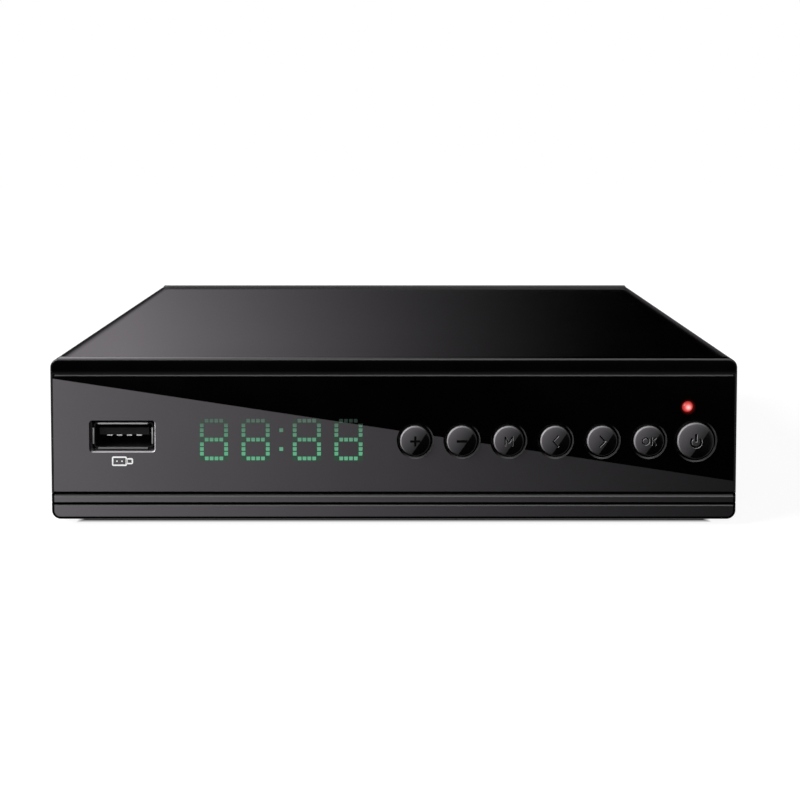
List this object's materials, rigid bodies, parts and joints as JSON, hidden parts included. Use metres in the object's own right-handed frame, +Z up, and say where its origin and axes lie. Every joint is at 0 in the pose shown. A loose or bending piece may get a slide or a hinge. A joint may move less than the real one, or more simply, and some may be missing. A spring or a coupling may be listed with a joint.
{
  "type": "tv decoder box",
  "caption": "Low steel set-top decoder box with a gloss two-tone front, dotted clock display, round push buttons, memory stick port and rear sockets.",
  "frame": {"origin": "on the floor under the middle of the whole footprint, front buttons and rear sockets included", "axes": "+Z up, the front faces -Y, +X to the right as seen from the front"},
  "size_m": [0.15, 0.1046, 0.0376],
  "materials": {
    "case_paint": "satin black powder coat",
    "foot_rubber": "matte black rubber",
    "screw_steel": "blackened zinc",
    "bezel_plastic": "moulded black plastic, left to right graphite fade",
    "fascia_gloss": "gloss print, black above a slanting edge, graphite below",
    "display_green": "lit green, brighter at the foot of the digits",
    "module_plastic": "potted resin",
    "lamp_red": "lit red lens",
    "black_plastic": "moulded black",
    "button_gloss": "gloss black caps with a bright bevel",
    "board_green": "solder mask over glass fibre",
    "bright_steel": "bright tin plate",
    "contact_gold": "gold flash",
    "sink_aluminium": "anodised",
    "capacitor_sleeve": "shrunk sleeve",
    "coil_ferrite": "sintered ferrite",
    "socket_white": "white moulding",
    "socket_yellow": "yellow moulding",
    "socket_red": "red moulding"
  },
  "bodies": {
    "case": {"chassis_tray": "case_paint", "top_cover": "case_paint", "rubber_feet": "foot_rubber", "cover_screws": "screw_steel", "front_board_screws": "screw_steel", "bezel_screws": "screw_steel", "board_screws": "screw_steel", "front_bezel": "bezel_plastic", "fascia_panel": "fascia_gloss", "display_light_guide": "display_green", "display_module": "module_plastic", "standby_lamp": "lamp_red", "ir_receiver": "black_plastic", "switch_bodies": "black_plastic", "port_tongue": "black_plastic", "link_header": "black_plastic", "processor": "black_plastic", "memory_chips": "black_plastic", "flash_chip": "black_plastic", "video_tongue": "black_plastic", "av_block": "black_plastic", "inlet_body": "black_plastic", "front_board": "board_green", "main_board": "board_green", "switch_plates": "bright_steel", "port_shell": "bright_steel", "port_contacts": "bright_steel", "crystal": "bright_steel", "tuner_can": "bright_steel", "antenna_in_sleeve": "bright_steel", "antenna_out_sleeve": "bright_steel", "video_shell": "bright_steel", "av_sleeves": "bright_steel", "inlet_pin": "bright_steel", "link_pins": "contact_gold", "antenna_contacts": "contact_gold", "heat_sink": "sink_aluminium", "capacitors": "capacitor_sleeve", "power_coils": "coil_ferrite", "antenna_bushes": "socket_white", "av_insert_white": "socket_white", "av_insert_yellow": "socket_yellow", "av_insert_red": "socket_red"},
    "plus_key": {"button_plus": "button_gloss", "plunger_plus": "black_plastic"},
    "minus_key": {"button_minus": "button_gloss", "plunger_minus": "black_plastic"},
    "menu_key": {"button_menu": "button_gloss", "plunger_menu": "black_plastic"},
    "left_key": {"button_left": "button_gloss", "plunger_left": "black_plastic"},
    "right_key": {"button_right": "button_gloss", "plunger_right": "black_plastic"},
    "ok_key": {"button_ok": "button_gloss", "plunger_ok": "black_plastic"},
    "power_key": {"button_power": "button_gloss", "plunger_power": "black_plastic"}
  },
  "joints": [
    {"name": "plus_press", "type": "slide", "parent": "case", "child": "plus_key", "axis": [0, 1, 0], "range_m": [0, 0.0004], "stiffness_N_per_m": 1000, "springref_m": -0.0006},
    {"name": "minus_press", "type": "slide", "parent": "case", "child": "minus_key", "axis": [0, 1, 0], "range_m": [0, 0.0004], "stiffness_N_per_m": 1000, "springref_m": -0.0006},
    {"name": "menu_press", "type": "slide", "parent": "case", "child": "menu_key", "axis": [0, 1, 0], "range_m": [0, 0.0004], "stiffness_N_per_m": 1000, "springref_m": -0.0006},
    {"name": "left_press", "type": "slide", "parent": "case", "child": "left_key", "axis": [0, 1, 0], "range_m": [0, 0.0004], "stiffness_N_per_m": 1000, "springref_m": -0.0006},
    {"name": "right_press", "type": "slide", "parent": "case", "child": "right_key", "axis": [0, 1, 0], "range_m": [0, 0.0004], "stiffness_N_per_m": 1000, "springref_m": -0.0006},
    {"name": "ok_press", "type": "slide", "parent": "case", "child": "ok_key", "axis": [0, 1, 0], "range_m": [0, 0.0004], "stiffness_N_per_m": 1000, "springref_m": -0.0006},
    {"name": "power_press", "type": "slide", "parent": "case", "child": "power_key", "axis": [0, 1, 0], "range_m": [0, 0.0004], "stiffness_N_per_m": 1000, "springref_m": -0.0006}
  ]
}
